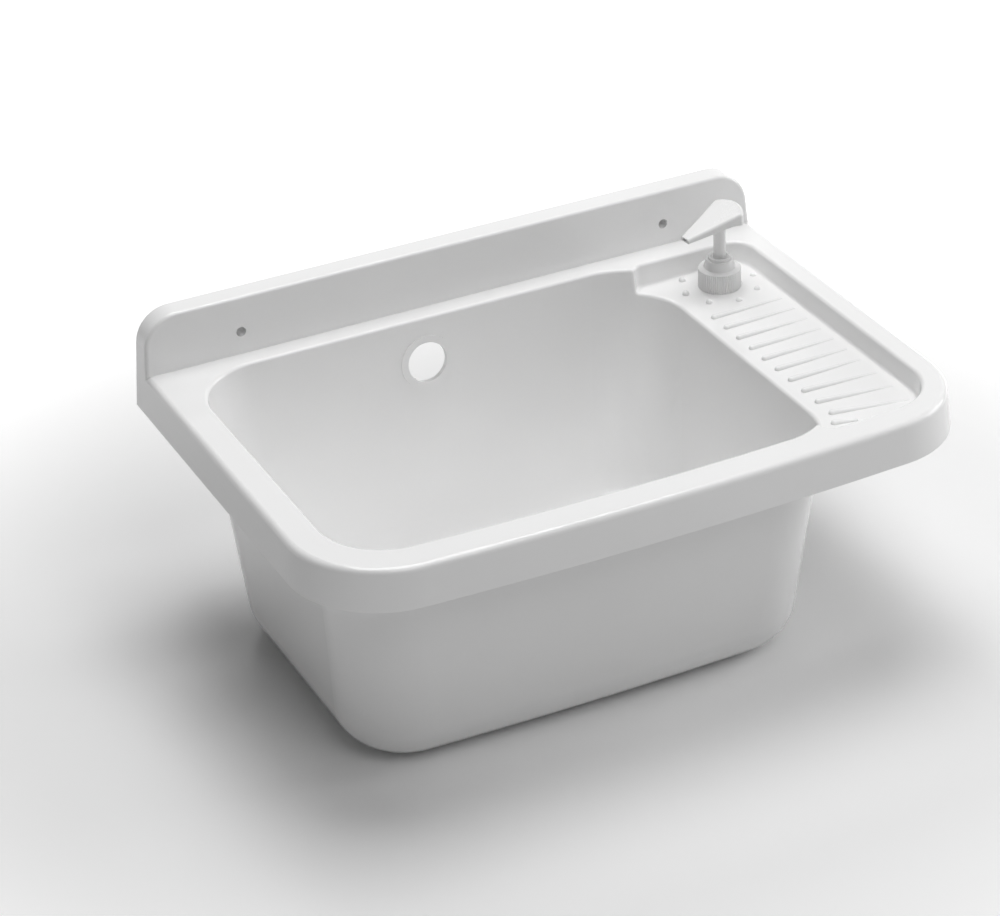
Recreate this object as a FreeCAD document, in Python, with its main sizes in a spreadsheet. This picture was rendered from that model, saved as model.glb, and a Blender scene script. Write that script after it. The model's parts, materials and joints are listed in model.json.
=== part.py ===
"""Utility laundry sink: one moulded basin with a soap pump and its bottle under the shelf.

Millimetres. X runs left to right, Y from the front to the wall, Z up from the tub's underside.
The origin is under the middle of the sink; the wall is the plane Y = sink_depth / 2.
The basin is a thin-walled moulding: an outer form is laid down first, then hollowed from below,
then the tub and the tray for the shelf go through it, and their hollows are cut out.
"""
import FreeCAD, Part
import math
import operator
import os
from types import SimpleNamespace

import Sketcher

os.makedirs("parts", exist_ok=True)
doc = FreeCAD.newDocument("laundry_sink")
V = FreeCAD.Vector

# ---------------------------------------------------------------- driving dimensions

DIMENSIONS = [
    ("sink_width", 500, "overall width at the skirt's lower edge"),
    ("sink_depth", 350, "wall plane to the middle of the bowed front"),
    ("sink_height", 240, "underside of the tub to the top of the upstand"),
    ("wall", 3, "moulded wall thickness"),
    ("rim_height", 196, "flat top of the rim"),
    ("skirt_height", 30, "skirt that hangs round the rim"),
    ("draft", 0.0875, "inward run of outer faces for each millimetre of height, 5 degrees"),
    ("bow_radius", 3300, "bow of the front edge in plan"),
    ("rim_corner", 70, "front corners of the rim in plan"),
    ("rim_round", 4.5, "rounded outer edge of the rim"),
    ("upstand_base", 19.5, "thickness of the upstand at the rim"),
    ("upstand_top", 17.2, "thickness of the upstand at its top"),
    ("upstand_corner", 26, "top corners of the upstand"),
    ("upstand_round", 2.5, "rounded front edges of the upstand"),
    ("rib_pitch", 48, "between the ribs inside the upstand"),
    ("rib_thickness", 2, "one of those ribs"),
    ("rib_count", 9, "number of those ribs"),
    ("screw_spacing", 345, "between the two wall screw holes"),
    ("screw_radius", 3.75, "wall screw hole"),
    ("screw_height", 213, "wall screw holes above the tub's underside"),
    ("screw_boss", 6.5, "radius of the tubes round those holes inside the upstand"),
    ("tub_left", 226, "outer face of the tub at the rim, left of the middle"),
    ("tub_right", 154.5, "outer face of the tub at the rim, right of the middle"),
    ("tub_front", 149.5, "outer face of the tub at the rim, in front of the middle"),
    ("tub_rear", 142.5, "outer face of the tub at the rim, behind the middle"),
    ("tub_left_run", 18, "how far the left wall comes in from rim to floor"),
    ("tub_right_run", 11, "the same on the right"),
    ("tub_front_run", 28, "the same at the front"),
    ("tub_rear_run", 17, "the same at the rear"),
    ("tub_corner", 53, "upright corners of the tub, outside"),
    ("tub_floor_round", 36, "rounding from the tub's walls to its underside"),
    ("tub_floor", 5, "thickness of the tub's floor"),
    ("opening_round", 2.5, "rounded edge of the opening, and of the shelf's floor all round"),
    ("shelf_left", 131.5, "left end of the recessed shelf"),
    ("shelf_right", 229, "right end of the recessed shelf"),
    ("shelf_front", 150, "front wall of the shelf, in front of the middle"),
    ("shelf_rear", 135, "rear wall of the shelf, behind the middle"),
    ("shelf_level", 178.9, "shelf floor at the pump"),
    ("shelf_fall", 0.021, "fall of the shelf floor towards the tub for each millimetre"),
    ("shelf_run", 1.5, "how far the shelf's walls come in from rim to floor"),
    ("shelf_front_corner", 42, "front right corner of the shelf"),
    ("shelf_rear_corner", 16, "rear right corner of the shelf"),
    ("shelf_notch_corner", 9, "small corners where the shelf meets the tub"),
    ("soap_rib_radius", 2.4, "radius of a soap rib at its round left end"),
    ("soap_rib_tail", 1.4, "radius at its right end"),
    ("soap_rib_rise", 0.3, "height of its axis over the shelf floor at the left end"),
    ("soap_rib_left", 163, "centre of the soap ribs' left ends"),
    ("soap_rib_length", 57.5, "from there to their right ends"),
    ("soap_rib_rear", 61.9, "rearmost soap rib, behind the middle"),
    ("soap_rib_pitch", 18.3, "between soap ribs"),
    ("soap_rib_count", 7, "soap ribs that lie square to the tub, from the rear"),
    ("fan_rib_count", 3, "soap ribs in front of those, each turned a step more"),
    ("fan_rib_turn", 4, "that step, degrees"),
    ("short_rib_left", 157.1, "centre of the short front rib's left end"),
    ("short_rib_front", 115.6, "short rib, in front of the middle"),
    ("short_rib_length", 17, "length of the short rib"),
    ("pump_x", 192.3, "pump axis, right of the middle"),
    ("pump_y", 105.2, "pump axis, behind the middle"),
    ("pump_seat", 178.6, "flat seat under the pump's closure"),
    ("pump_seat_radius", 17.2, "radius of that seat, faced into the shelf floor"),
    ("pump_boss_radius", 18.5, "radius of the boss under the seat"),
    ("pump_seat_under", 175, "flat underside of the boss, where the bottle's shoulder bears"),
    ("neck_hole", 14.3, "radius of the hole for the bottle's neck"),
    ("nub_ring", 29.1, "radius of the ring of nubs round the pump"),
    ("nub_radius", 2.6, "radius of one nub"),
    ("nub_centre", 178.8, "height of the nubs' centres"),
    ("nub_root", 1.5, "how far a nub goes down into the shelf floor"),
    ("nub_count", 8, "number of nubs"),
    ("overflow_x", -37, "overflow, left of the middle"),
    ("overflow_radius", 15.5, "overflow hole"),
    ("overflow_height", 161, "overflow hole above the tub's underside"),
    ("overflow_face", 136.5, "rear wall at the overflow, behind the middle"),
    ("overflow_turn", 4.96, "slope of the rear wall, degrees"),
    ("overflow_seat", 21, "radius of the raised seat round the overflow"),
    ("overflow_rise", 0.8, "how far that seat stands off the wall"),
    ("drain_x", -40, "drain, left of the middle"),
    ("drain_y", 10, "drain, behind the middle"),
    ("drain_radius", 20, "drain hole"),
    ("drain_seat", 29, "radius of the recess for the waste flange"),
    ("drain_seat_level", 3, "floor of that recess above the tub's underside"),
    ("knurl_radius", 16.15, "closure over its grip ridges"),
    ("ridge_count", 60, "grip ridges on the closure"),
    ("ridge_depth", 0.6, "depth of the grooves between those ridges"),
    ("closure_foot", 178.65, "lower edge of the closure"),
    ("closure_shoulder", 193.7, "top of the closure's gripped side"),
    ("closure_waist", 194.8, "foot of the plain tier over the shoulder"),
    ("closure_waist_radius", 12, "radius of that tier at its foot"),
    ("closure_top", 201.5, "top of the closure"),
    ("closure_top_radius", 10.3, "radius of the tier at its top"),
    ("closure_edge", 0.5, "rounded upper edge of the closure"),
    ("closure_bore", 14.15, "bore of the closure over the bottle's neck"),
    ("collar_radius", 8.5, "collar that guides the stem"),
    ("collar_top", 203.6, "top of the collar"),
    ("collar_recess", 6.5, "radius of the recess in the collar's top"),
    ("collar_recess_depth", 1.6, "depth of that recess"),
    ("collar_edge", 0.6, "rounded upper edges of the collar"),
    ("stem_radius", 4.65, "pump stem"),
    ("stem_bore", 2.2, "soap passage in the stem"),
    ("slide_gap", 0.06, "radial clearance of a running fit"),
    ("part_gap", 0.05, "axial gap between faces of pieces that move apart"),
    ("neck_radius", 13.8, "bottle neck"),
    ("neck_bore", 11.6, "bore of the bottle neck"),
    ("neck_top", 190, "top of the bottle neck"),
    ("gasket_top", 191.1, "top of the neck gasket"),
    ("flange_radius", 13.2, "flange of the pump housing on the gasket"),
    ("flange_top", 192.6, "top of that flange"),
    ("housing_radius", 7, "pump housing"),
    ("housing_bore", 5.9, "bore of the pump housing"),
    ("housing_rim", 199, "top of the housing's rim, inside the collar"),
    ("housing_ledge", 146, "ledge inside the housing, under the spring"),
    ("housing_tip", 128, "lower end of the housing"),
    ("tail_radius", 4.6, "tail of the housing round the dip tube"),
    ("dip_tube_radius", 3, "dip tube"),
    ("dip_tube_bore", 2, "bore of the dip tube"),
    ("dip_tube_foot", 60, "lower end of the dip tube"),
    ("inlet_ball_radius", 2.4, "ball valve at the foot of the housing"),
    ("outlet_ball_radius", 1.7, "ball valve at the top of the stem"),
    ("piston_foot", 191.8, "lower edge of the piston"),
    ("piston_height", 7, "height of the piston"),
    ("piston_clip", 1.3, "step in the stem that the piston clips over"),
    ("piston_waist", 0.8, "depth of the waist between the piston's lips"),
    ("retainer_foot", 189, "lower face of the piston retainer"),
    ("spring_coil", 4.3, "radius of the return spring's coil"),
    ("spring_wire", 0.45, "radius of its wire"),
    ("spring_turns", 8, "turns of the spring"),
    ("bottle_radius", 26, "soap bottle"),
    ("bottle_wall", 1.6, "wall of the bottle"),
    ("bottle_foot", 52, "underside of the bottle"),
    ("bottle_foot_round", 5, "rounded lower edge of the bottle"),
    ("bottle_shoulder", 160, "where the bottle's side rolls into its shoulder"),
    ("head_foot", 232.5, "underside of the pump head"),
    ("head_top", 244.4, "top rear edge of the pump head"),
    ("head_rear", 16.3, "stem to the middle of the head's curved rear edge"),
    ("head_shoulder", 9.2, "stem to the corners where the rear edge ends"),
    ("head_half_width", 16.6, "half width between those corners"),
    ("head_corner", 3.5, "rounding of those corners in plan"),
    ("spout_reach", 32.3, "stem to the tip of the spout"),
    ("spout_width", 9.4, "width of the spout's tip"),
    ("spout_turn", 7.5, "turn of the spout towards the front, degrees"),
    ("spout_top", 227.9, "top of the spout's tip"),
    ("spout_foot", 224.5, "underside of the spout's tip"),
    ("head_flat", 2, "where the flat underside of the head starts to fall to the spout"),
    ("head_round", 2.5, "rounded upper edge of the head"),
    ("stem_socket", 3.6, "depth of the stem in the head"),
    ("mouth_width", 4.6, "width of the spout's mouth"),
    ("mouth_height", 1.4, "height of the spout's mouth"),
    ("mouth_sill", 0.9, "wall under the spout's mouth"),
]

sheet = doc.addObject("Spreadsheet::Sheet", "Dims")
for row, (alias, amount, note) in enumerate(DIMENSIONS, start=1):
    sheet.set("A%d" % row, alias)
    sheet.set("B%d" % row, str(amount))
    sheet.set("C%d" % row, note)
    sheet.setAlias("B%d" % row, alias)
doc.recompute()

OPERATIONS = {
    "+": operator.add,
    "-": operator.sub,
    "*": operator.mul,
    "/": operator.truediv,
}


class Measure:
    """A number together with the expression that ties it to the sheet."""

    def __init__(self, value, text):
        self.value = value
        self.text = text

    def __add__(self, other):
        return join(self, "+", other)

    def __radd__(self, other):
        return join(other, "+", self)

    def __sub__(self, other):
        return join(self, "-", other)

    def __rsub__(self, other):
        return join(other, "-", self)

    def __mul__(self, other):
        return join(self, "*", other)

    def __rmul__(self, other):
        return join(other, "*", self)

    def __truediv__(self, other):
        return join(self, "/", other)

    def __neg__(self):
        return join(0, "-", self)


def measure(thing):
    if isinstance(thing, Measure):
        return thing
    return Measure(float(thing), "(%r)" % float(thing))


def join(left, sign, right):
    left = measure(left)
    right = measure(right)
    value = OPERATIONS[sign](left.value, right.value)
    return Measure(value, "(%s %s %s)" % (left.text, sign, right.text))


def root(amount):
    return Measure(math.sqrt(amount.value), "sqrt(%s)" % amount.text)


def slope(run, rise):
    """Angle in degrees of a wall that moves by run over rise."""
    ratio = run / rise
    return Measure(math.degrees(math.atan(ratio.value)), "atan(%s)" % ratio.text)


d = SimpleNamespace(
    **{alias: Measure(float(sheet.get(alias)), "Dims." + alias) for alias, amount, note in DIMENSIONS}
)

# ---------------------------------------------------------------- sketches


def bind(thing, setting, amount):
    thing.setExpression(setting, measure(amount).text)


def new_body(label, x=0, y=0, z=0):
    body = doc.addObject("PartDesign::Body", label)
    body.Label = label
    bind(body, "Placement.Base.x", x)
    bind(body, "Placement.Base.y", y)
    bind(body, "Placement.Base.z", z)
    return body


def new_sketch(body, name, plane, offset=(0, 0, 0), turn=None):
    """Sketch on an origin plane of its body. offset is in the plane's own axes, and turn is an
    axis of the plane with an angle in degrees."""
    sketch = body.newObject("Sketcher::SketchObject", name)
    origin = next(item for item in body.Origin.OriginFeatures if item.Role == plane)
    sketch.AttachmentSupport = [(origin, "")]
    sketch.MapMode = "FlatFace"
    if turn:
        axis, angle = turn
        sketch.AttachmentOffset = FreeCAD.Placement(V(0, 0, 0), FreeCAD.Rotation(axis, angle.value))
        bind(sketch, "AttachmentOffset.Rotation.Angle", angle)
    for axis_name, amount in zip("xyz", offset):
        bind(sketch, "AttachmentOffset.Base." + axis_name, amount)
    return sketch


def constrain(sketch, kind, where, amount):
    index = sketch.addConstraint(Sketcher.Constraint(kind, *where, amount.value))
    sketch.setExpression("Constraints[%d]" % index, amount.text)


def pin(sketch, geometry, point, x, y):
    """Hold one point of a sketch at x and y from the sketch's origin."""
    constrain(sketch, "DistanceX", (-1, 1, geometry, point), measure(x))
    constrain(sketch, "DistanceY", (-1, 1, geometry, point), measure(y))


def arc_between(start, end, radius):
    """Arc of less than half a circle that turns left from start to end."""
    chord = end - start
    middle = (start + end) * 0.5
    rise = math.sqrt(radius * radius - chord.Length ** 2 / 4)
    centre = middle + V(-chord.y, chord.x, 0).normalize() * rise
    first = math.atan2(start.y - centre.y, start.x - centre.x)
    last = math.atan2(end.y - centre.y, end.x - centre.x)
    return Part.ArcOfCircle(Part.Circle(centre, V(0, 0, 1), radius), first, last)


def draw(sketch, corners):
    """Closed outline through corners given as (x, y) or (x, y, radius). A radius makes the
    stretch that leads to its corner an arc, which turns left, or right if it is negative."""
    stretches = []
    for before, after in zip(corners[-1:] + corners[:-1], corners):
        start = V(measure(before[0]).value, measure(before[1]).value, 0)
        end = V(measure(after[0]).value, measure(after[1]).value, 0)
        first_point = 1
        if len(after) == 2:
            geometry = sketch.addGeometry(Part.LineSegment(start, end))
        else:
            radius = measure(after[2])
            if radius.value > 0:
                curve = arc_between(start, end, radius.value)
            else:
                first_point = 2
                radius = -radius
                curve = arc_between(end, start, radius.value)
            geometry = sketch.addGeometry(curve)
            constrain(sketch, "Radius", (geometry,), radius)
        pin(sketch, geometry, 3 - first_point, after[0], after[1])
        stretches.append((geometry, first_point))
    for (geometry, first_point), (following, its_first) in zip(stretches, stretches[1:] + stretches[:1]):
        sketch.addConstraint(
            Sketcher.Constraint("Coincident", following, its_first, geometry, 3 - first_point)
        )


def draw_circle(sketch, x, y, radius):
    centre = V(measure(x).value, measure(y).value, 0)
    geometry = sketch.addGeometry(Part.Circle(centre, V(0, 0, 1), radius.value))
    pin(sketch, geometry, 3, x, y)
    constrain(sketch, "Radius", (geometry,), radius)


# ---------------------------------------------------------------- features


def feature_of(body, kind, name, sketch, **settings):
    feature = body.newObject("PartDesign::" + kind, name)
    feature.Profile = sketch
    for setting, thing in settings.items():
        if isinstance(thing, Measure):
            bind(feature, setting, thing)
        else:
            setattr(feature, setting, thing)
    return feature


def combine(body, kind, others):
    """Fuse other bodies into this one, or cut them from it."""
    feature = body.newObject("PartDesign::Boolean", "%s_%s" % (kind.lower(), others[0].Label))
    feature.setObjects(others)
    feature.Type = kind
    return feature


def round_edges(body, name, radius, chosen):
    """Fillet on the edges of the body's last feature whose box makes chosen(box) true."""
    doc.recompute()
    base = body.Tip
    edges = enumerate(base.Shape.Edges, start=1)
    names = ["Edge%d" % number for number, edge in edges if chosen(edge.BoundBox)]
    if not names:
        raise SystemExit("no edges for " + name)
    feature = body.newObject("PartDesign::Fillet", name)
    feature.Base = (base, names)
    bind(feature, "Radius", radius)
    return feature


def turned(label, points):
    """Piece turned about the pump's axis from a profile of radius and height."""
    body = new_body(label, d.pump_x, d.pump_y)
    sketch = new_sketch(body, label + "_profile", "XZ_Plane")
    draw(sketch, points)
    feature_of(body, "Revolution", label + "_turned", sketch, ReferenceAxis=(sketch, ["V_Axis"]), Angle=360)
    return body


def walled_block(label, left, right, front, rear, low, high, corners):
    """Block between four drafted walls, the front one bowed.

    Each wall is a pair, at the block's foot and at its top. low is the height of the foot at the
    left and at the right end. corners are the upright edges' radii: front left, front right,
    rear right, rear left, with None for a sharp one.
    """
    body = new_body(label)
    beyond = 12
    back = max(rear, key=lambda amount: measure(amount).value)
    fore = min(front, key=lambda amount: measure(amount).value)
    sides = new_sketch(body, label + "_sides", "XZ_Plane", (0, 0, -back))
    draw(sides, [(left[0], low[0]), (right[0], low[1]), (right[1], high), (left[1], high)])
    feature_of(body, "Pad", label + "_block", sides, Length=back - fore + beyond)
    foot = min(low, key=lambda amount: measure(amount).value)
    if measure(rear[0]).value != measure(rear[1]).value:
        wedge = new_sketch(body, label + "_rear_slope", "YZ_Plane")
        draw(wedge, [(rear[0], foot), (back + beyond, foot), (back + beyond, high), (rear[1], high)])
        feature_of(
            body, "Pocket", label + "_rear", wedge, SideType="Symmetric", Length=2 * d.sink_width
        )
    lean = slope(front[0] - front[1], high - foot)
    bow = new_sketch(body, label + "_bow", "XY_Plane", (0, front[0], foot), (V(1, 0, 0), lean))
    reach = d.sink_width * 0.6
    sagitta = d.bow_radius - root(d.bow_radius * d.bow_radius - reach * reach)
    draw(bow, [
        (-reach, -4 * beyond),
        (reach, -4 * beyond),
        (reach, sagitta),
        (-reach, sagitta, -d.bow_radius),
    ])
    feature_of(
        body, "Pocket", label + "_front", bow, SideType="Symmetric", Length=3 * d.sink_height
    )
    middle_x = (measure(left[0]).value + measure(right[0]).value) / 2
    middle_y = (measure(front[0]).value + measure(rear[0]).value) / 2
    upright = (measure(high).value - measure(foot).value) / 2
    for radius, to_right, to_rear in zip(
        corners, (False, True, True, False), (False, False, True, True)
    ):
        if radius is None:
            continue
        round_edges(
            body, "%s_corner_%d%d" % (label, to_right, to_rear), radius,
            lambda box: box.ZLength > upright
            and (box.Center.x > middle_x) == to_right
            and (box.Center.y > middle_y) == to_rear,
        )
    return body


# ---------------------------------------------------------------- the moulded basin

half_width = d.sink_width / 2
wall_plane = d.sink_depth / 2
skirt_foot = d.rim_height - d.skirt_height
deck_under = d.rim_height - d.wall


def drafted(height, start=half_width):
    """Outer half width at a height above the skirt's foot, or another wall that starts there."""
    return start - (height - skirt_foot) * d.draft


def rim_block(label, top, inset):
    """The rim between its skirt and the wall plane, or its hollow when it is inset."""
    side = (drafted(skirt_foot) - inset, drafted(top) - inset)
    front = (-drafted(skirt_foot, wall_plane) + inset, -drafted(top, wall_plane) + inset)
    rear = (wall_plane - inset, wall_plane - inset)
    corner = d.rim_corner - inset
    return walled_block(
        label, (-side[0], -side[1]), side, front, rear, (skirt_foot, skirt_foot), top,
        (corner, corner, None, None),
    )


def tub_block(label, foot, top, inset):
    """The tub's outside, or its inside when it is inset: each wall has its own slope."""
    def wall_at(height, at_rim, run):
        return at_rim - run * (d.rim_height - height) / d.rim_height - inset

    def both(at_rim, run):
        return (wall_at(foot, at_rim, run), wall_at(top, at_rim, run))

    left = both(d.tub_left, d.tub_left_run)
    front = both(d.tub_front, d.tub_front_run)
    corner = d.tub_corner - inset
    body = walled_block(
        label, (-left[0], -left[1]), both(d.tub_right, d.tub_right_run),
        (-front[0], -front[1]), both(d.tub_rear, d.tub_rear_run), (foot, foot), top, (corner,) * 4,
    )
    foot_level = foot.value
    round_edges(
        body, label + "_floor_round", d.tub_floor_round - inset,
        lambda box: box.ZMax < foot_level + 0.1,
    )
    return body


def shelf_block(label, top, grow):
    """The shelf's recess, or the tray round it when it is grown: its floor falls to the tub."""
    fall_left = (d.pump_x - d.shelf_left) * d.shelf_fall
    rise_right = (d.shelf_right - d.pump_x) * d.shelf_fall
    floor = d.shelf_level - grow
    run = d.shelf_run
    notch = d.shelf_notch_corner + grow
    return walled_block(
        label,
        (d.shelf_left + run - grow, d.shelf_left - grow),
        (d.shelf_right - run + grow, d.shelf_right + grow),
        (-d.shelf_front + run - grow, -d.shelf_front - grow),
        (d.shelf_rear - run + grow, d.shelf_rear + grow),
        (floor - fall_left, floor + rise_right),
        top,
        (notch, d.shelf_front_corner + grow, d.shelf_rear_corner + grow, notch),
    )


def upstand_block(label, foot, inset):
    """The upstand, flush with the skirt's ends, or the slot inside it when it is inset."""
    body = new_body(label)
    rear = wall_plane - inset
    top = d.sink_height - inset
    foot_half = drafted(foot) - inset
    top_half = drafted(top) - inset
    front = new_sketch(body, label + "_front", "XZ_Plane", (0, 0, -rear))
    draw(front, [(-foot_half, foot), (foot_half, foot), (top_half, top), (-top_half, top)])
    lean = (d.upstand_base - d.upstand_top) / (d.sink_height - d.rim_height)
    foot_depth = d.upstand_base + (d.rim_height - foot) * lean - 2 * inset
    top_depth = d.upstand_top + inset * lean - 2 * inset
    feature_of(body, "Pad", label + "_block", front, Length=foot_depth)
    top_level = top.value
    round_edges(
        body, label + "_corners", d.upstand_corner - inset,
        lambda box: box.ZMin > top_level - 0.1 and box.XLength < 1,
    )
    beyond = 8
    wedge = new_sketch(body, label + "_lean_profile", "YZ_Plane")
    draw(wedge, [
        (rear - foot_depth, foot),
        (rear - top_depth, top),
        (rear - foot_depth - beyond, top),
        (rear - foot_depth - beyond, foot),
    ])
    feature_of(body, "Pocket", label + "_lean", wedge, SideType="Symmetric", Length=2 * d.sink_width)
    return body


def outer_form():
    """Rim and upstand as one block, with their rounded edges."""
    body = rim_block("sink_basin", d.rim_height, measure(0))
    deck = d.rim_height.value
    near_wall = wall_plane.value - 1
    round_edges(
        body, "rim_edge", d.rim_round, lambda box: box.ZMin > deck - 0.1 and box.YMin < near_wall
    )
    upstand = upstand_block("upstand", skirt_foot, measure(0))
    face = wall_plane.value - d.upstand_top.value
    foot = skirt_foot.value
    round_edges(
        upstand, "upstand_edge", d.upstand_round,
        lambda box: box.YMax < face + 0.1 and box.ZMax > foot + 1,
    )
    combine(body, "Fuse", [upstand])
    return body


def add_upstand_ribs(body):
    """Upright ribs across the slot inside the upstand."""
    first = -d.rib_pitch * (d.rib_count - 1) / 2 - d.rib_thickness / 2
    rib = new_sketch(body, "slot_rib_profile", "YZ_Plane", (0, 0, first))
    front = wall_plane - d.upstand_base + d.wall / 2
    rear = wall_plane - d.wall / 2
    foot = skirt_foot + d.rim_round
    top = d.sink_height - d.wall / 2
    top_front = wall_plane - d.upstand_top + d.wall / 2
    draw(rib, [(front, foot), (rear, foot), (rear, top), (top_front, top)])
    one = feature_of(body, "Pad", "slot_rib", rib, Length=d.rib_thickness)
    row = body.newObject("PartDesign::LinearPattern", "slot_ribs")
    row.Originals = [one]
    row.Direction = (rib, ["N_Axis"])
    bind(row, "Length", d.rib_pitch * (d.rib_count - 1))
    bind(row, "Occurrences", d.rib_count)
    body.Tip = row


def shelf_floor(x):
    """Height of the shelf's sloping floor at x."""
    return d.shelf_level - (d.pump_x - x) * d.shelf_fall


def add_screw_bosses(body):
    """Tubes inside the upstand that keep its two skins apart round the wall screws."""
    plan = new_sketch(
        body, "screw_boss_plan", "XZ_Plane", (0, 0, d.wall / 2 - wall_plane)
    )
    for side in (-0.5, 0.5):
        draw_circle(plan, d.screw_spacing * side, d.screw_height, d.screw_boss)
    feature_of(body, "Pad", "screw_bosses", plan, Length=d.upstand_top - d.wall)


def add_soap_rib(body, name, left, y, length, turn):
    """Tapering bar with a round left end, half sunk in the floor. Returns it and its sketch."""
    size = d.soap_rib_radius
    sketch = new_sketch(
        body, name + "_profile", "XY_Plane", (left, y, shelf_floor(left) + d.soap_rib_rise),
        (V(0, 0, -1), turn),
    )
    draw(sketch, [(length, 0), (length, d.soap_rib_tail), (0, size), (-size, 0, size)])
    bar = feature_of(body, "Revolution", name, sketch, ReferenceAxis=(sketch, ["H_Axis"]), Angle=360)
    return bar, sketch


def add_soap_ribs(body):
    """Parallel ribs from the rear, then ribs that fan out towards the front, then a short one."""
    left = d.soap_rib_left
    length = d.soap_rib_length
    rib, plan = add_soap_rib(body, "soap_rib", left, d.soap_rib_rear, length, measure(0))
    row = body.newObject("PartDesign::LinearPattern", "soap_ribs")
    row.Originals = [rib]
    row.Direction = (plan, ["V_Axis"])
    row.Reversed = True
    bind(row, "Length", d.soap_rib_pitch * (d.soap_rib_count - 1))
    bind(row, "Occurrences", d.soap_rib_count)
    body.Tip = row
    for step in range(round(d.fan_rib_count.value)):
        y = d.soap_rib_rear - d.soap_rib_pitch * (d.soap_rib_count + step)
        add_soap_rib(body, "fan_rib_%d" % step, left, y, length, d.fan_rib_turn * (step + 1))
    add_soap_rib(
        body, "short_rib", d.short_rib_left, -d.short_rib_front, d.short_rib_length,
        d.fan_rib_turn * (d.fan_rib_count + 1),
    )


def add_pump_place(body):
    """Boss with a flat seat for the pump, its hole, and the ring of nubs round it."""
    boss = new_sketch(body, "pump_boss_plan", "XY_Plane", (d.pump_x, d.pump_y, d.pump_seat_under))
    draw_circle(boss, 0, 0, d.pump_boss_radius)
    feature_of(body, "Pad", "pump_boss", boss, Length=d.pump_seat - d.pump_seat_under)
    seat = new_sketch(body, "pump_seat_plan", "XY_Plane", (d.pump_x, d.pump_y, d.pump_seat))
    draw_circle(seat, 0, 0, d.pump_seat_radius)
    feature_of(body, "Pocket", "pump_seat", seat, Length=d.wall, Reversed=True)
    nub = new_sketch(body, "nub_profile", "XZ_Plane", (d.pump_x + d.nub_ring, d.nub_centre, -d.pump_y))
    draw(nub, [
        (0, -d.nub_root),
        (d.nub_radius, -d.nub_root),
        (d.nub_radius, 0),
        (0, d.nub_radius, d.nub_radius),
    ])
    one = feature_of(body, "Revolution", "nub", nub, ReferenceAxis=(nub, ["V_Axis"]), Angle=360)
    ring = body.newObject("PartDesign::PolarPattern", "nubs")
    ring.Originals = [one]
    ring.Axis = (seat, ["N_Axis"])
    ring.Angle = 360
    bind(ring, "Occurrences", d.nub_count)
    body.Tip = ring
    hole = new_sketch(body, "neck_hole_plan", "XY_Plane", (d.pump_x, d.pump_y, d.pump_seat))
    draw_circle(hole, 0, 0, d.neck_hole)
    feature_of(body, "Pocket", "neck_hole", hole, Length=d.pump_seat - d.pump_seat_under + 1)


def round_shelf(body):
    """One rounding along the opening's edge, up the notches between shelf and tub, and all
    round the shelf's floor, where it also rolls over into the tub."""
    deck = d.rim_height.value
    outer_x = (half_width - 2 * d.rim_round).value
    outer_y = (wall_plane - 2 * d.rim_round).value
    face_y = (wall_plane - d.upstand_base).value
    floor_low = shelf_floor(d.shelf_left).value - 1
    floor_high = shelf_floor(d.shelf_right).value + 1
    left = (d.shelf_left - d.shelf_run).value
    right = d.shelf_right.value
    notch = (d.shelf_left + 2 * d.shelf_run).value

    def opening(box):
        return (
            box.ZMin > deck - 0.1 and abs(box.Center.x) < outer_x - 5
            and box.YMin > -outer_y and box.YMax < face_y - 1
        )

    def notches(box):
        return box.ZMin > floor_low and box.ZLength > 15 and box.XMin > left and box.XMax < notch

    def floor(box):
        return box.ZMin > floor_low and box.ZMax < floor_high and box.XMin > left and box.XMax < right

    round_edges(
        body, "opening_edge", d.opening_round,
        lambda box: opening(box) or notches(box) or floor(box),
    )


def add_overflow(body):
    """Round seat on the rear wall, square to it, with the overflow hole through it."""
    turn = (V(-1, 0, 0), d.overflow_turn)
    centre = (d.overflow_x, d.overflow_height, -d.overflow_face)
    seat = new_sketch(body, "overflow_seat_plan", "XZ_Plane", centre, turn)
    draw_circle(seat, 0, 0, d.overflow_seat)
    feature_of(
        body, "Pad", "overflow_seat", seat, Length=d.overflow_rise, Type="Length",
    )
    hole = new_sketch(body, "overflow_plan", "XZ_Plane", centre, turn)
    draw_circle(hole, 0, 0, d.overflow_radius)
    feature_of(
        body, "Pocket", "overflow", hole, SideType="Symmetric", Length=6 * d.wall
    )


def cut_drain(body):
    """Recess for the waste flange in the tub's floor, and the drain hole in it."""
    for name, radius, depth in (
        ("drain_seat", d.drain_seat, d.tub_floor - d.drain_seat_level),
        ("drain", d.drain_radius, d.tub_floor + 1),
    ):
        plan = new_sketch(body, name + "_plan", "XY_Plane", (d.drain_x, d.drain_y, d.tub_floor))
        draw_circle(plan, 0, 0, radius)
        feature_of(body, "Pocket", name, plan, Length=depth)


def cut_screw_holes(body):
    """Two holes for the wall screws, through both skins of the upstand."""
    plan = new_sketch(body, "screw_holes_front", "XZ_Plane", (0, 0, -wall_plane))
    for side in (-0.5, 0.5):
        draw_circle(plan, d.screw_spacing * side, d.screw_height, d.screw_radius)
    feature_of(body, "Pocket", "screw_holes", plan, SideType="Symmetric", Length=3 * d.upstand_base)


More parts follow.
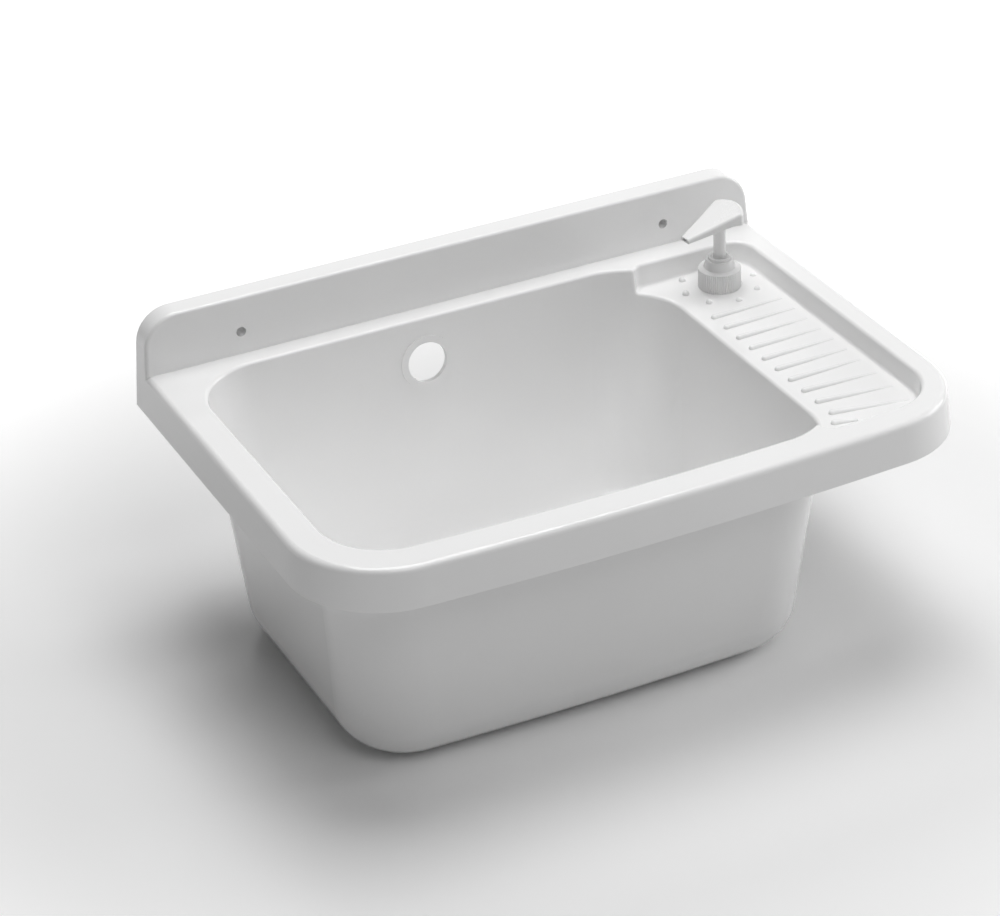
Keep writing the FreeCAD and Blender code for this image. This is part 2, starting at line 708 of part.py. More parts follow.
def make_sink_basin():
    body = outer_form()
    combine(body, "Cut", [rim_block("rim_hollow", deck_under, d.wall)])
    combine(body, "Cut", [upstand_block("slot", skirt_foot, d.wall)])
    add_upstand_ribs(body)
    add_screw_bosses(body)
    tray = shelf_block("tray", d.rim_height - d.wall / 2, d.wall)
    tub = tub_block("tub", measure(0), d.rim_height, measure(0))
    combine(body, "Fuse", [tray, tub])
    above = 4
    combine(body, "Cut", [tub_block("bowl", d.tub_floor, d.rim_height + above, d.wall)])
    combine(body, "Cut", [shelf_block("shelf", d.rim_height + above, measure(0))])
    round_shelf(body)
    add_soap_ribs(body)
    add_pump_place(body)
    add_overflow(body)
    cut_drain(body)
    cut_screw_holes(body)
    return body


# ---------------------------------------------------------------- the pump's turned pieces

gap = d.part_gap
slide = d.slide_gap
collar_foot = d.flange_top
collar_web = d.collar_top - d.collar_recess_depth
piston_top = d.piston_foot + d.piston_height
stem_top = d.head_foot + d.stem_socket


def make_soap_bottle():
    """Blown bottle: its neck stands up through the shelf and its shoulder bears on the seat."""
    shoulder_top = d.pump_seat_under - gap
    land = d.neck_hole + d.bottle_wall * 2
    wall = d.bottle_wall
    rise = shoulder_top - d.bottle_shoulder
    run = d.bottle_radius - land
    outer = (rise * rise + run * run) / (2 * run)
    inner_rise = rise - wall
    inner = (inner_rise * inner_rise + run * run) / (2 * run)
    foot = d.bottle_foot
    edge = d.bottle_foot_round
    return turned("soap_bottle", [
        (d.bottle_radius - edge, foot),
        (d.bottle_radius, foot + edge, edge),
        (d.bottle_radius, d.bottle_shoulder),
        (land, shoulder_top, outer),
        (d.neck_radius, shoulder_top),
        (d.neck_radius, d.neck_top),
        (d.neck_bore, d.neck_top),
        (d.neck_bore, shoulder_top - wall),
        (land - wall, shoulder_top - wall),
        (d.bottle_radius - wall, d.bottle_shoulder, -inner),
        (d.bottle_radius - wall, foot + edge),
        (d.bottle_radius - edge, foot + wall, wall - edge),
        (0, foot + wall),
        (0, foot),
    ])


def make_neck_gasket():
    return turned("neck_gasket", [
        (d.housing_radius + slide, d.neck_top + gap),
        (d.flange_radius, d.neck_top + gap),
        (d.flange_radius, d.gasket_top),
        (d.housing_radius + slide, d.gasket_top),
    ])


def make_pump_housing():
    """Barrel with a flange that hangs it on the neck, a ball seat and a tail for the dip tube."""
    ball_chamber = d.inlet_ball_radius + 1
    seat_top = d.housing_ledge - d.inlet_ball_radius - gap
    throat = d.inlet_ball_radius * 2 / 3
    seat_foot = seat_top - d.inlet_ball_radius
    tube = d.dip_tube_radius
    return turned("pump_housing", [
        (d.tail_radius, d.housing_tip),
        (d.tail_radius, seat_foot - gap),
        (d.housing_radius, d.housing_ledge),
        (d.housing_radius, d.gasket_top),
        (d.flange_radius, d.gasket_top),
        (d.flange_radius, d.flange_top),
        (d.housing_radius, d.flange_top),
        (d.housing_radius, d.housing_rim),
        (d.housing_bore, d.housing_rim),
        (d.housing_bore, d.housing_ledge),
        (ball_chamber, d.housing_ledge),
        (ball_chamber, seat_top),
        (throat, seat_foot),
        (throat, seat_foot - throat),
        (tube, seat_foot - throat),
        (tube, d.housing_tip),
    ])


def make_lock_collar():
    """Collar snapped over the housing's rim, with a dished top round the stem."""
    edge = d.collar_edge
    return turned("lock_collar", [
        (d.collar_radius, collar_foot),
        (d.collar_radius, d.collar_top - edge),
        (d.collar_radius - edge, d.collar_top, edge),
        (d.collar_recess + edge, d.collar_top),
        (d.collar_recess, d.collar_top - edge, edge),
        (d.collar_recess, collar_web),
        (d.stem_radius + slide, collar_web),
        (d.stem_radius + slide, d.housing_rim),
        (d.housing_radius, d.housing_rim),
        (d.housing_radius, collar_foot),
    ])


def make_screw_closure():
    """Screw cap round the collar: a gripped side, a low sloping shoulder and a plain tier."""
    hole = d.collar_radius + slide
    inside_top = d.flange_top + gap
    edge = d.closure_edge
    body = turned("screw_closure", [
        (d.knurl_radius, d.closure_foot),
        (d.knurl_radius, d.closure_shoulder),
        (d.closure_waist_radius, d.closure_waist),
        (d.closure_top_radius, d.closure_top - edge),
        (d.closure_top_radius - edge, d.closure_top, edge),
        (hole, d.closure_top),
        (hole, inside_top),
        (d.closure_bore, inside_top),
        (d.closure_bore, d.closure_foot),
    ])
    groove = new_sketch(body, "groove_plan", "XY_Plane", (0, 0, d.closure_foot))
    depth = d.ridge_depth
    mouth = d.ridge_depth
    draw(groove, [
        (d.knurl_radius - depth, 0),
        (d.knurl_radius + depth, -mouth * 2),
        (d.knurl_radius + depth, mouth * 2),
    ])
    one = feature_of(
        body, "Pocket", "groove", groove, Length=d.closure_waist - d.closure_foot, Reversed=True
    )
    ring = body.newObject("PartDesign::PolarPattern", "grooves")
    ring.Originals = [one]
    ring.Axis = (groove, ["N_Axis"])
    ring.Angle = 360
    bind(ring, "Occurrences", d.ridge_count)
    body.Tip = ring
    return body


def ball_rest(radius):
    """Height of a valve ball's centre over the foot of its conical seat, where it just clears."""
    throat = radius * 2 / 3
    wide = radius + 1 - throat
    side = root(wide * wide + radius * radius)
    return ((radius + gap) * side - throat * radius) / wide


def make_pump_stem():
    """Hollow stem: narrow where the piston clips on, with a ball seat in its upper end."""
    neck = d.stem_radius - d.piston_clip
    chamber = d.outlet_ball_radius + 1
    seat_top = stem_top - 3 * d.outlet_ball_radius
    throat = d.outlet_ball_radius * 2 / 3
    seat_foot = seat_top - d.outlet_ball_radius
    return turned("pump_stem", [
        (d.stem_bore, d.piston_foot),
        (neck, d.piston_foot),
        (neck, piston_top),
        (d.stem_radius, piston_top),
        (d.stem_radius, stem_top),
        (chamber, stem_top),
        (chamber, seat_top),
        (throat, seat_foot),
        (throat, seat_foot - throat),
        (d.stem_bore, seat_foot - 2 * throat),
    ])


def make_piston():
    """Sliding seal with a lip at each end that wipes the barrel."""
    lip = d.housing_bore - slide
    waist = lip - d.piston_waist
    neck = d.stem_radius - d.piston_clip
    band = d.piston_height / 4
    return turned("piston", [
        (neck, d.piston_foot),
        (lip, d.piston_foot),
        (lip, d.piston_foot + band),
        (waist, d.piston_foot + 1.5 * band),
        (waist, piston_top - 1.5 * band),
        (lip, piston_top - band),
        (lip, piston_top),
        (neck, piston_top),
    ])


def make_piston_retainer():
    """Hollow plug clipped into the stem: it holds the piston and takes the spring's push."""
    bore = d.stem_bore / 2
    return turned("piston_retainer", [
        (bore, d.retainer_foot),
        (d.housing_bore - 1, d.retainer_foot),
        (d.housing_bore - 1, d.piston_foot),
        (d.stem_bore, d.piston_foot),
        (d.stem_bore, piston_top),
        (bore, piston_top),
    ])


def make_return_spring():
    """Coil spring between the housing's ledge and the piston retainer."""
    body = new_body("return_spring", d.pump_x, d.pump_y)
    foot = d.housing_ledge + d.spring_wire + gap
    top = d.retainer_foot - d.spring_wire - gap
    wire = new_sketch(body, "spring_wire_section", "XZ_Plane")
    draw_circle(wire, d.spring_coil, foot, d.spring_wire)
    coil = body.newObject("PartDesign::AdditiveHelix", "spring_coil")
    coil.Profile = wire
    coil.ReferenceAxis = (wire, ["V_Axis"])
    coil.Mode = "pitch-turns-angle"
    bind(coil, "Pitch", (top - foot) / d.spring_turns)
    bind(coil, "Turns", d.spring_turns)
    least = (top.value - foot.value) / d.spring_turns.value - 2 * d.spring_wire.value
    print("spring: least gap between turns %.2f mm" % least)
    return body


def make_ball(label, radius, centre):
    return turned(label, [
        (0, centre - radius),
        (radius, centre, radius),
        (0, centre + radius, radius),
    ])


def make_dip_tube():
    top = d.housing_ledge - 2 * d.inlet_ball_radius - d.inlet_ball_radius * 2 / 3 - gap
    return turned("dip_tube", [
        (d.dip_tube_bore, d.dip_tube_foot),
        (d.dip_tube_radius, d.dip_tube_foot),
        (d.dip_tube_radius, top - gap),
        (d.dip_tube_bore, top - gap),
    ])


# ---------------------------------------------------------------- the pump head


def make_pump_head():
    """Head fanned out in plan from a narrow spout to a curved rear edge, under one sloping top."""
    body = new_body("pump_head", d.pump_x, d.pump_y)
    body.Placement = FreeCAD.Placement(V(0, 0, 0), FreeCAD.Rotation(V(0, 0, 1), d.spout_turn.value))
    bind(body, "Placement.Rotation.Angle", d.spout_turn)
    plan = new_sketch(body, "head_plan", "XY_Plane", (0, 0, d.spout_foot))
    tip = -d.spout_reach
    half = d.spout_width / 2
    bulge = d.head_rear - d.head_shoulder
    wide = d.head_half_width
    rear_radius = (wide * wide + bulge * bulge) / (2 * bulge)
    draw(plan, [
        (tip, -half),
        (d.head_shoulder, -wide),
        (d.head_shoulder, wide, rear_radius),
        (tip, half),
    ])
    feature_of(body, "Pad", "head_block", plan, Length=d.head_top - d.spout_foot)
    upright = (d.head_top - d.spout_foot).value / 2
    round_edges(
        body, "head_corners", d.head_corner,
        lambda box: box.ZLength > upright and abs(box.Center.y) > wide.value - 1,
    )
    beyond = 3
    fall = (d.head_top - d.spout_top) / (d.head_rear - tip)
    rise = (d.head_foot - d.spout_foot) / (d.head_flat - tip)
    rear_end = d.head_rear + beyond
    shape = new_sketch(body, "head_slopes", "XZ_Plane")
    draw(shape, [
        (tip - beyond, d.spout_top - fall * beyond),
        (rear_end, d.head_top + fall * beyond),
        (rear_end, d.head_top + 2 * beyond),
        (tip - beyond, d.head_top + 2 * beyond),
    ])
    draw(shape, [
        (tip - beyond, d.spout_foot - rise * beyond),
        (tip - beyond, d.spout_foot - 2 * beyond),
        (rear_end, d.spout_foot - 2 * beyond),
        (rear_end, d.head_foot),
        (d.head_flat, d.head_foot),
    ])
    feature_of(body, "Pocket", "head_shape", shape, SideType="Symmetric", Length=4 * wide)
    low_end = d.spout_top.value - 0.1
    underside = d.head_foot.value + 1
    round_edges(
        body, "head_edge", d.head_round,
        lambda box: box.ZMin > low_end and box.ZMax > underside and box.XLength > 1,
    )
    socket_depth = d.head_foot - d.spout_foot
    socket = new_sketch(body, "socket_plan", "XY_Plane", (0, 0, d.spout_foot))
    draw_circle(socket, 0, 0, d.stem_radius + slide)
    feature_of(
        body, "Pocket", "socket", socket, Length=socket_depth + d.stem_socket + gap, Reversed=True
    )
    channel = new_sketch(body, "spout_channel_side", "XZ_Plane")
    low = d.spout_foot + d.mouth_sill
    high = low + d.mouth_height
    inner = d.stem_radius - d.stem_bore
    draw(channel, [
        (tip - 1, low - fall),
        (-inner, low + fall * (d.spout_reach - inner)),
        (-inner, high + fall * (d.spout_reach - inner)),
        (tip - 1, high - fall),
    ])
    feature_of(
        body, "Pocket", "spout_channel", channel, SideType="Symmetric", Length=d.mouth_width
    )
    return body


# ---------------------------------------------------------------- build, check and write

make_sink_basin()
make_soap_bottle()
make_neck_gasket()
make_pump_housing()
make_lock_collar()
make_screw_closure()
make_pump_stem()
make_piston()
make_piston_retainer()
make_return_spring()
make_dip_tube()
inlet_seat = d.housing_ledge - 2 * d.inlet_ball_radius - gap
outlet_seat = stem_top - 4 * d.outlet_ball_radius
make_ball("inlet_ball", d.inlet_ball_radius, inlet_seat + ball_rest(d.inlet_ball_radius))
make_ball("outlet_ball", d.outlet_ball_radius, outlet_seat + ball_rest(d.outlet_ball_radius))
make_pump_head()

NODES = (
    "sink_basin", "soap_bottle", "neck_gasket", "pump_housing", "lock_collar", "screw_closure",
    "pump_stem", "piston", "piston_retainer", "return_spring", "dip_tube", "inlet_ball",
    "outlet_ball", "pump_head",
)


def check(item):
    """Stop if an object failed, or if a cut removed nothing."""
    if {"Invalid", "Error"} & set(item.State):
        raise SystemExit("%s failed" % item.Name)
    if not item.isDerivedFrom("PartDesign::Feature"):
        return
    base = item.BaseFeature
    kind = item.TypeId.split("::")[1]
    if base and kind == "Pocket" and item.Shape.Volume > base.Shape.Volume - 0.01:
        raise SystemExit("%s cuts nothing" % item.Name)


doc.recompute()
for item in doc.Objects:
    check(item)
for name in NODES:
    shape = doc.getObjectsByLabel(name)[0].Shape
    if shape.isNull() or not shape.isValid() or len(shape.Solids) != 1:
        raise SystemExit("%s is not one sound solid" % name)
    shape.exportStep("parts/%s.step" % name)
    box = shape.BoundBox
    print(
        "%-16s %9.1f mm3  X %.1f %.1f  Y %.1f %.1f  Z %.1f %.1f"
        % (name, shape.Volume, box.XMin, box.XMax, box.YMin, box.YMax, box.ZMin, box.ZMax)
    )
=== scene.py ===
import json
import math

import bpy
import numpy as np
from mathutils import Matrix, Vector


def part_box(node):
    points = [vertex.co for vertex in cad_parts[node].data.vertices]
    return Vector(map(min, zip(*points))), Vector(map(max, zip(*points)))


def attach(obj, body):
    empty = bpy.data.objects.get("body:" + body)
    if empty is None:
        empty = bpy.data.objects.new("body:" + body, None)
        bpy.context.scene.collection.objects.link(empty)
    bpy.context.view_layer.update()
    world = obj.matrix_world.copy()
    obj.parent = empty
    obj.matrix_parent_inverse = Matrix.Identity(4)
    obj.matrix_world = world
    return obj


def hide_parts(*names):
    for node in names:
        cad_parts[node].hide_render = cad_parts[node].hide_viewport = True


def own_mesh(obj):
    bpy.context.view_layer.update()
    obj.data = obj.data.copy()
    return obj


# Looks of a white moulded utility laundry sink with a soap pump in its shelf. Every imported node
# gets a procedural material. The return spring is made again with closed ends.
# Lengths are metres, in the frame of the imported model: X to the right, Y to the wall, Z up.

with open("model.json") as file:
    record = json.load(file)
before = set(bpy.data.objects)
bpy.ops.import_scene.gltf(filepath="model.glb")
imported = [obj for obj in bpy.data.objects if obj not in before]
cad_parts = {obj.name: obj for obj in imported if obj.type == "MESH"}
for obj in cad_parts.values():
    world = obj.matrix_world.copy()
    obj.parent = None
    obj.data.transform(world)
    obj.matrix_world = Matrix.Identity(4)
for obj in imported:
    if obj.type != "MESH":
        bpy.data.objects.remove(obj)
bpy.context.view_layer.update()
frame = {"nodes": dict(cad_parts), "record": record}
NODES = frame["nodes"]

MM = 0.001

# The camera: how far it is turned round the object, raised and rolled, and what it looks at.
CAMERA_TURN = math.radians(-25.311)
CAMERA_RISE = math.radians(30.263)
CAMERA_ROLL = math.radians(-2.278)
CAMERA_AIM_HEIGHT = 0.120
CAMERA_SLIDE_RIGHT = -0.041779
CAMERA_SLIDE_UP = 0.015042
CAMERA_REACH = 2.284189
CAMERA_SENSOR = 36.0
CAMERA_LENS = 3.203292 * CAMERA_SENSOR


# ---------------------------------------------------------------- shader fields

class Field:
    """A shader socket that Python operators combine: each operator adds one Math node."""

    def __init__(self, tree, socket):
        self.tree = tree
        self.socket = socket

    def node(self, kind, output=0, settings=None, **inputs):
        """Adds a node: its settings first, then the values or links of its inputs."""
        made = self.tree.nodes.new(kind)
        for name, value in (settings or {}).items():
            setattr(made, name, value)
        for name, value in inputs.items():
            socket = self.input_of(made, name)
            if isinstance(value, Field):
                self.tree.links.new(value.socket, socket)
            else:
                socket.default_value = value
        return Field(self.tree, made.outputs[output])

    @staticmethod
    def input_of(made, name):
        """The input called name, with _ for a blank, or the one whose number follows 'at'."""
        if name.startswith("at") and name[2:].isdigit():
            return made.inputs[int(name[2:])]
        return made.inputs[name.replace("_", " ")]

    def _math(self, operation, first, second):
        return self.node("ShaderNodeMath", settings={"operation": operation},
                         at0=first, at1=second)

    def __add__(self, other):
        return self._math("ADD", self, other)

    def __radd__(self, other):
        return self._math("ADD", other, self)

    def __mul__(self, other):
        return self._math("MULTIPLY", self, other)

    def __rmul__(self, other):
        return self._math("MULTIPLY", other, self)

    def largest(self, other):
        return self._math("MAXIMUM", self, other)


class Finish:
    """One material with its Principled shader, and the patterns that vary over its surface."""

    # Most of a noise pattern lies between these two values.
    NOISE_LOW = 0.3
    NOISE_HIGH = 0.7

    def __init__(self, name, **constants):
        self.material = bpy.data.materials.new(name)
        self.material.use_nodes = True
        self.tree = self.material.node_tree
        self.shader = self.tree.nodes["Principled BSDF"]
        for socket, value in constants.items():
            self.shader.inputs[socket.replace("_", " ")].default_value = value
        place = self.tree.nodes.new("ShaderNodeTexCoord")
        self.place = Field(self.tree, place.outputs["Object"])

    def noise(self, scale, detail, stretch=(1.0, 1.0, 1.0)):
        """Soft random pattern, 0 to 1, with scale blotches a metre, stretched along each axis."""
        where = self.place.node("ShaderNodeMapping", Vector=self.place, Scale=stretch)
        return where.node("ShaderNodeTexNoise", Vector=where, Scale=scale, Detail=detail,
                          Roughness=0.5)

    def range(self, field, low=0.0, high=1.0):
        """A noise field's usual values, mapped to low to high and clamped there."""
        return field.node("ShaderNodeMapRange", Value=field, From_Min=self.NOISE_LOW,
                          From_Max=self.NOISE_HIGH, To_Min=low, To_Max=high)

    def blend(self, factor, first, second):
        """A colour between first and second, by factor."""
        return factor.node("ShaderNodeMix", output=2, settings={"data_type": "RGBA"},
                           at0=factor, at6=first, at7=second)

    def colour(self, field):
        self.tree.links.new(field.socket, self.shader.inputs["Base Color"])

    def roughness(self, field):
        self.tree.links.new(field.socket, self.shader.inputs["Roughness"])

    def relief(self, height, depth):
        """Bumps the surface by height times depth metres."""
        bump = height.node("ShaderNodeBump", Height=height, Distance=depth, Strength=1.0)
        self.tree.links.new(bump.socket, self.shader.inputs["Normal"])


def grey(level, warmth=0.0):
    """A near-neutral colour: warmth lifts red and lowers blue by that share."""
    return (level * (1.0 + warmth), level, level * (1.0 - warmth), 1.0)


def shared(broad, fine, share):
    """Two patterns added: share of the broad one and the rest of the fine one."""
    return broad * share + fine * (1.0 - share)


# ---------------------------------------------------------------- materials

# Moulded plastic: the sizes of its patterns, in blotches a metre, and how far each one reaches.
CLOUDS = 7.0
SPECKS = 900.0
CLOUD_SHARE = 0.8
CLOUD_SHADE = 0.97
PALE_WARMTH = 0.4
SMEARS = 16.0
SMEAR_STRETCH = (1.0, 1.0, 0.6)
SMEAR_SHARE = 0.75
GLOSSIEST = 0.85
DULLEST = 1.25
SKIN = 330.0
GRAIN = 1400.0
GRAIN_HEIGHT = 0.25

# Rubber gasket.
RUBBER_SHEEN = 0.35
RUBBER_MOTTLE = 120.0
RUBBER_DARK = grey(0.16, 0.02)
RUBBER_PALE = grey(0.22, 0.01)
RUBBER_ROUGHNESS = (0.6, 0.8)
RUBBER_GRAIN = 2200.0
RUBBER_DEPTH = 0.02 * MM

# Stainless steel.
STEEL_MARKS = 700.0
STEEL_DARK = grey(0.52, 0.01)
STEEL_PALE = grey(0.66, 0.0)
STEEL_ROUGHNESS = (0.16, 0.34)
STEEL_DEPTH = 0.01 * MM
ALONG_WIRE = (1.0, 1.0, 0.25)
EVEN = (1.0, 1.0, 1.0)


def moulded_plastic(name, level, warmth, gloss, peel):
    """Injection-moulded plastic: faint clouds in the white, uneven gloss and a fine skin."""
    finish = Finish(name)
    clouds = finish.noise(CLOUDS, detail=2.0)
    specks = finish.noise(SPECKS, detail=1.0)
    finish.colour(finish.blend(finish.range(shared(clouds, specks, CLOUD_SHARE)),
                               grey(level * CLOUD_SHADE, warmth),
                               grey(level, warmth * PALE_WARMTH)))
    smears = finish.noise(SMEARS, detail=4.0, stretch=SMEAR_STRETCH)
    grain = finish.noise(GRAIN, detail=1.0)
    finish.roughness(finish.range(shared(smears, grain, SMEAR_SHARE),
                                  gloss * GLOSSIEST, gloss * DULLEST))
    skin = finish.noise(SKIN, detail=2.0)
    finish.relief(skin + GRAIN_HEIGHT * grain, peel)
    return finish.material


def rubber(name):
    """Dull grey rubber with a mottled tone and a fine moulded grain."""
    finish = Finish(name, Specular_IOR_Level=RUBBER_SHEEN)
    mottle = finish.noise(RUBBER_MOTTLE, detail=4.0)
    finish.colour(finish.blend(finish.range(mottle), RUBBER_DARK, RUBBER_PALE))
    finish.roughness(finish.range(mottle, *RUBBER_ROUGHNESS))
    finish.relief(finish.noise(RUBBER_GRAIN, detail=2.0), RUBBER_DEPTH)
    return finish.material


def bright_steel(name, drawn):
    """Stainless steel with fine marks, which drawn stretches along each axis."""
    finish = Finish(name, Metallic=1.0)
    marks = finish.noise(STEEL_MARKS, detail=3.0, stretch=drawn)
    finish.colour(finish.blend(finish.range(marks), STEEL_DARK, STEEL_PALE))
    finish.roughness(finish.range(marks, *STEEL_ROUGHNESS))
    finish.relief(marks, STEEL_DEPTH)
    return finish.material


# Each slot's material. A plastic's numbers are its level, warmth, roughness and skin depth.
MATERIALS = {
    "sink_white": moulded_plastic("glossy_white_basin_plastic", 0.95, 0.001, 0.09, 0.008 * MM),
    "pump_white": moulded_plastic("satin_white_pump_plastic", 0.88, 0.002, 0.24, 0.02 * MM),
    "bottle_white": moulded_plastic("soft_white_bottle_plastic", 0.74, 0.010, 0.42, 0.05 * MM),
    "piston_natural": moulded_plastic("natural_piston_plastic", 0.66, 0.030, 0.38, 0.02 * MM),
    "gasket_grey": rubber("grey_gasket_rubber"),
    "spring_steel": bright_steel("drawn_spring_steel", ALONG_WIRE),
    "ball_steel": bright_steel("polished_ball_steel", EVEN),
}


def dress_nodes():
    """Gives every CAD node the material of its slot."""
    for node in NODES.values():
        for index, held in enumerate(node.data.materials):
            node.data.materials[index] = MATERIALS[held.name.split(".")[0]]


# ---------------------------------------------------------------- the return spring

SPRING_COIL = 4.3 * MM
SPRING_WIRE = 0.45 * MM
SPRING_TURNS = 10
SPRING_CLOSED_TURNS = 1
SPRING_CLOSED_PITCH = 2.05 * SPRING_WIRE
SPRING_STEPS = 40
SPRING_SIDES = 12


def coil_line(low, high):
    """Centre line of the spring's wire between two heights, and the outward direction at it.

    After t turns the line is at (SPRING_COIL cos 2 pi t, SPRING_COIL sin 2 pi t, z). The closed
    turns at each end rise by a hair over the wire's thickness a turn, and the rest rise evenly.
    """
    turns = np.linspace(0.0, SPRING_TURNS, SPRING_TURNS * SPRING_STEPS + 1)
    stack = SPRING_CLOSED_PITCH * SPRING_CLOSED_TURNS
    changes = [0, SPRING_CLOSED_TURNS, SPRING_TURNS - SPRING_CLOSED_TURNS, SPRING_TURNS]
    height = np.interp(turns, changes, [low, low + stack, high - stack, high])
    angle = 2.0 * math.pi * turns
    outward = np.stack([np.cos(angle), np.sin(angle), np.zeros_like(angle)], axis=1)
    return SPRING_COIL * outward + height[:, None] * [0.0, 0.0, 1.0], outward


def round_wire(line, outward):
    """Vertices and faces of a round wire along line.

    With b from 0 to 2 pi round the wire, n the outward direction and m at right angles to it
    and to the line, a vertex is at line + SPRING_WIRE (n cos b + m sin b).
    """
    along = np.gradient(line, axis=0)
    side = np.cross(outward, along)
    side /= np.linalg.norm(side, axis=1)[:, None]
    around = np.linspace(0.0, 2.0 * math.pi, SPRING_SIDES, endpoint=False)[None, :, None]
    rings = line[:, None] + SPRING_WIRE * (outward[:, None] * np.cos(around)
                                           + side[:, None] * np.sin(around))
    index = np.arange(len(line) * SPRING_SIDES).reshape(len(line), SPRING_SIDES)
    turned = np.roll(index, -1, axis=1)
    walls = np.stack([index[:-1], index[1:], turned[1:], turned[:-1]], axis=-1).reshape(-1, 4)
    faces = walls.tolist() + [index[0].tolist(), index[-1][::-1].tolist()]
    return rings.reshape(-1, 3), faces


def make_return_spring():
    """Steel spring with closed ends, hung on the pump body in place of the imported one."""
    low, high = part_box("return_spring")
    joints = {joint["name"]: joint for joint in frame["record"]["behaviour"]["joints"]}
    axis_x, axis_y, _ = joints["closure_turn"]["pos_m"]
    travel = joints["head_press"]["range_m"][1]
    line, outward = coil_line(low[2] + SPRING_WIRE, high[2] - SPRING_WIRE)
    points, faces = round_wire(line, outward)
    points += [axis_x, axis_y, 0.0]
    mesh = bpy.data.meshes.new("coiled_return_spring")
    mesh.from_pydata(points.tolist(), [], faces)
    mesh.materials.append(MATERIALS["spring_steel"])
    for face in mesh.polygons:
        face.use_smooth = len(face.vertices) == 4
    spring = bpy.data.objects.new("coiled_return_spring", mesh)
    bpy.context.scene.collection.objects.link(spring)
    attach(spring, "pump_body")
    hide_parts("return_spring")
    length = high[2] - low[2]
    (length - travel) / length
    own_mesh(spring)


# ---------------------------------------------------------------- stage, lamps and camera

WHITE = grey(1.0)

# The floor glows a little near the object, and turns white between the two distances from it.
FLOOR_HALF_WIDTH = 6.0
FLOOR_GAP = 0.3 * MM
FLOOR_SHADE = 0.90
FLOOR_GLOW = 0.03
FADE_START = 0.32
FADE_END = 1.0

SKY_LIGHT = 0.03
SKY_SHOWN = 1.0

# Each lamp's name, place, power in watts and width.
LAMP_AIM = (0.0, 0.0, 0.15)
LAMPS = (
    ("overhead_lamp", (0.25, 0.4, 2.6), 40.0, 1.6),
    ("front_lamp", (0.0, -1.6, 2.4), 16.0, 1.6),
    ("rear_lamp", (0.3, 1.8, 2.3), 6.0, 0.5),
    ("right_lamp", (2.5, -0.3, 1.0), 20.0, 1.4),
)


def seen_rays(tree):
    """1 for rays from the camera and for those that a mirror or glass passes on, 0 for light."""
    path = tree.nodes.new("ShaderNodeLightPath")
    seen = Field(tree, path.outputs["Is Camera Ray"])
    for ray in ("Is Glossy Ray", "Is Transmission Ray"):
        seen = seen.largest(Field(tree, path.outputs[ray]))
    return seen


def pale_stage(name):
    """Floor material: pale and matt in its own light, so that the object's shadow lies on it.

    Only where it is seen does it also glow, by FLOOR_GLOW near the object and fully far away.
    """
    material = bpy.data.materials.new(name)
    material.use_nodes = True
    tree = material.node_tree
    tree.nodes.clear()
    seen = seen_rays(tree)
    place = tree.nodes.new("ShaderNodeTexCoord")
    reach = seen.node("ShaderNodeVectorMath", output=1, settings={"operation": "LENGTH"},
                      at0=Field(tree, place.outputs["Object"]))
    fade = reach.node("ShaderNodeMapRange", settings={"interpolation_type": "SMOOTHSTEP"},
                      Value=reach, From_Min=FADE_START, From_Max=FADE_END,
                      To_Min=FLOOR_GLOW, To_Max=1.0)
    matt = seen.node("ShaderNodeBsdfDiffuse", Color=grey(FLOOR_SHADE))
    white = seen.node("ShaderNodeEmission", Color=WHITE, Strength=fade)
    lit = seen.node("ShaderNodeAddShader", at0=matt, at1=white)
    mixed = seen.node("ShaderNodeMixShader", at0=seen, at1=matt, at2=lit)
    out = tree.nodes.new("ShaderNodeOutputMaterial")
    tree.links.new(mixed.socket, out.inputs["Surface"])
    return material


def make_floor():
    """A flat square floor, a hair under the object so that the two don't share a plane."""
    corners = np.array([[-1, -1, 0], [1, -1, 0], [1, 1, 0], [-1, 1, 0]], float)
    corners *= FLOOR_HALF_WIDTH
    corners[:, 2] = -FLOOR_GAP
    mesh = bpy.data.meshes.new("floor")
    mesh.from_pydata(corners.tolist(), [], [(0, 1, 2, 3)])
    mesh.materials.append(pale_stage("pale_floor"))
    floor = bpy.data.objects.new("floor", mesh)
    bpy.context.scene.collection.objects.link(floor)


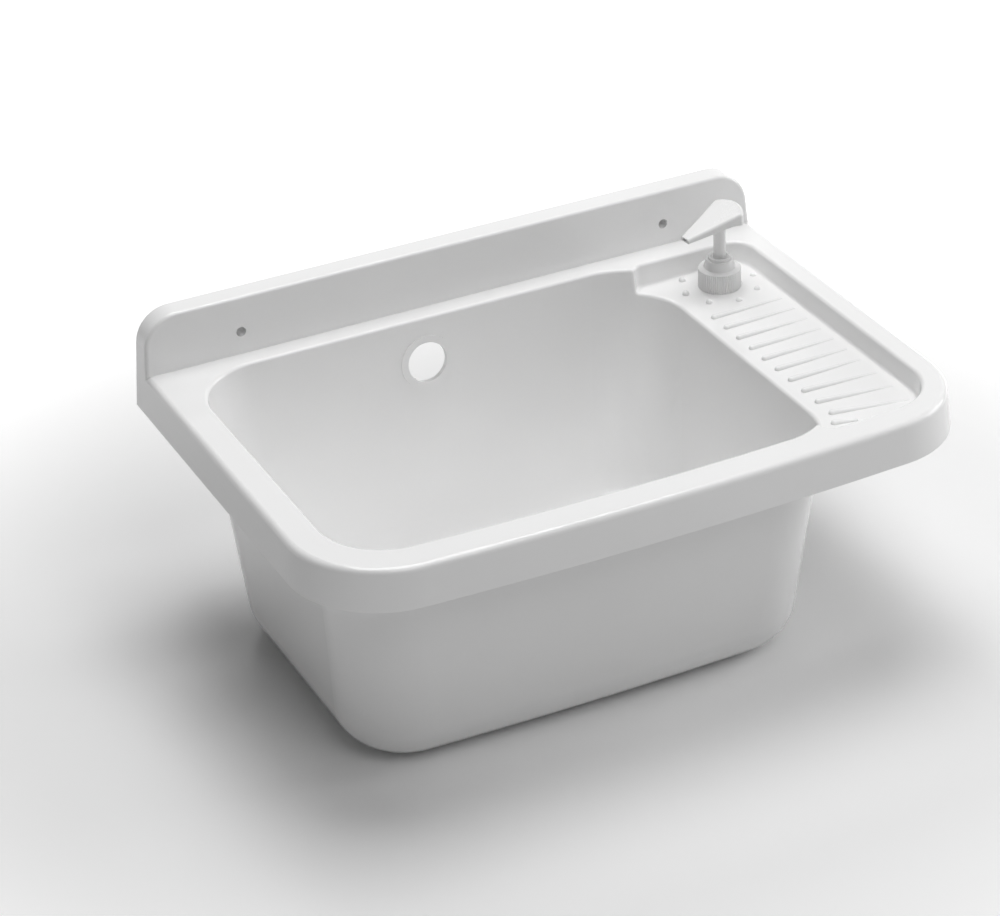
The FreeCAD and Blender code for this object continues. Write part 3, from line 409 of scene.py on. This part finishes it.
def make_world():
    """An even sky that lights by SKY_LIGHT, and is SKY_SHOWN to the camera and in reflections."""
    world = bpy.data.worlds.new("studio")
    bpy.context.scene.world = world
    world.use_nodes = True
    tree = world.node_tree
    background = tree.nodes["Background"]
    strength = SKY_LIGHT + (SKY_SHOWN - SKY_LIGHT) * seen_rays(tree)
    background.inputs["Color"].default_value = WHITE
    tree.links.new(strength.socket, background.inputs["Strength"])


def make_lamp(name, place, power, width):
    """A square soft lamp at place that faces LAMP_AIM."""
    lamp = bpy.data.lights.new(name, "AREA")
    lamp.energy = power
    lamp.size = width
    holder = bpy.data.objects.new(name, lamp)
    direction = Vector(LAMP_AIM) - Vector(place)
    holder.matrix_world = (Matrix.Translation(place)
                           @ direction.to_track_quat("-Z", "Y").to_matrix().to_4x4())
    bpy.context.scene.collection.objects.link(holder)


def make_camera():
    """Camera on a sphere round its aim, turned, raised and rolled as the photograph's was."""
    back = Vector((math.sin(CAMERA_TURN) * math.cos(CAMERA_RISE),
                   -math.cos(CAMERA_TURN) * math.cos(CAMERA_RISE),
                   math.sin(CAMERA_RISE)))
    level = Vector((math.cos(CAMERA_TURN), math.sin(CAMERA_TURN), 0.0))
    upright = back.cross(level)
    right = math.cos(CAMERA_ROLL) * level + math.sin(CAMERA_ROLL) * upright
    top = math.cos(CAMERA_ROLL) * upright - math.sin(CAMERA_ROLL) * level
    aim = (Vector((0.0, 0.0, CAMERA_AIM_HEIGHT))
           + CAMERA_SLIDE_RIGHT * right + CAMERA_SLIDE_UP * top)
    turn = Matrix((right, top, back)).transposed().to_4x4()
    data = bpy.data.cameras.new("camera")
    data.sensor_width = CAMERA_SENSOR
    data.lens = CAMERA_LENS
    camera = bpy.data.objects.new("camera", data)
    camera.matrix_world = Matrix.Translation(aim + CAMERA_REACH * back) @ turn
    bpy.context.scene.collection.objects.link(camera)
    bpy.context.scene.camera = camera


dress_nodes()
make_return_spring()
make_floor()
make_world()
for lamp_row in LAMPS:
    make_lamp(*lamp_row)
make_camera()
bpy.context.scene.view_settings.view_transform = "Standard"
